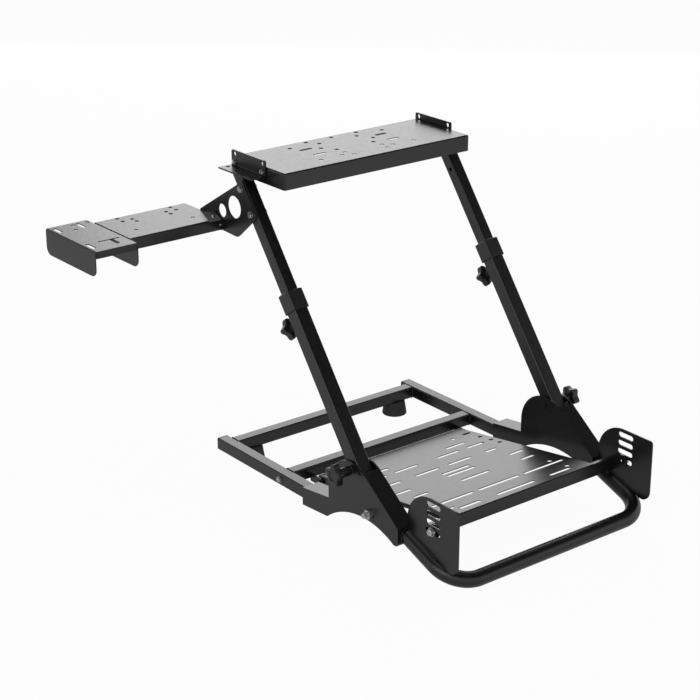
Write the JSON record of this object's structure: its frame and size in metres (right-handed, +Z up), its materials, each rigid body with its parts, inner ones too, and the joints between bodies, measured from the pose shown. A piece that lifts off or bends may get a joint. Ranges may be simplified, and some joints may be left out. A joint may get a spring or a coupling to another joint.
{
  "type": "racing wheel stand",
  "caption": "Folding steel stand for a steering wheel, pedals and shifter: leaning telescopic uprights with a wheel deck, side shifter tray, slotted pedal plate and tubular base.",
  "frame": {"origin": "middle of the bounding box's footprint, on the floor", "axes": "+X across the stand, away from the shifter arm; +Y from the front loop to the driver; +Z up"},
  "size_m": [0.8576, 0.8252, 0.656],
  "materials": {
    "black_coated_steel": "satin black powder coat",
    "black_plastic": "matte",
    "black_rubber": "matte",
    "zinc_steel": "bright zinc"
  },
  "bodies": {
    "base": {"rear_cross_tube": "black_coated_steel", "middle_cross_tube": "black_coated_steel", "front_loop": "black_coated_steel", "rail_left": "black_coated_steel", "rail_right": "black_coated_steel", "rail_cap_left": "black_plastic", "rail_cap_right": "black_plastic", "rubber_foot_left": "black_rubber", "rubber_foot_right": "black_rubber", "base_bracket_left": "black_coated_steel", "base_bracket_right": "black_coated_steel", "pivot_bolt_left": "zinc_steel", "pivot_bolt_right": "zinc_steel", "lock_knob_left": "black_plastic", "lock_knob_right": "black_plastic", "lock_bolt_head_left": "black_coated_steel", "lock_bolt_head_right": "black_coated_steel", "side_plate_left": "black_coated_steel", "side_plate_right": "black_coated_steel", "pedal_lug_left": "black_coated_steel", "pedal_lug_right": "black_coated_steel"},
    "uprights": {"lower_tube_left": "black_coated_steel", "lower_tube_right": "black_coated_steel", "collar_left": "black_plastic", "collar_right": "black_plastic", "height_knob_left": "black_plastic", "height_knob_right": "black_plastic"},
    "head": {"wheel_deck": "black_coated_steel", "shifter_gusset": "black_coated_steel", "shifter_arm": "black_coated_steel", "shifter_tray": "black_coated_steel", "upper_tube_left": "black_coated_steel", "upper_tube_right": "black_coated_steel", "deck_ear_left": "black_coated_steel", "deck_ear_right": "black_coated_steel"},
    "pedals": {"pedal_plate": "black_coated_steel", "pedal_front_bar": "black_coated_steel"}
  },
  "joints": [
    {"name": "fold", "type": "hinge", "parent": "base", "child": "uprights", "pos_m": [0.12575, -0.18962, 0.083], "axis": [-1, 0, 0], "range_deg": [0, 37]},
    {"name": "height", "type": "slide", "parent": "uprights", "child": "head", "axis": [0, 0.6018, 0.7986], "range_m": [-0.04, 0.08]},
    {"name": "pedal_tilt", "type": "hinge", "parent": "base", "child": "pedals", "pos_m": [0.12575, 0.05581, 0.03133], "axis": [-1, 0, 0], "range_deg": [0, 7.5]}
  ]
}
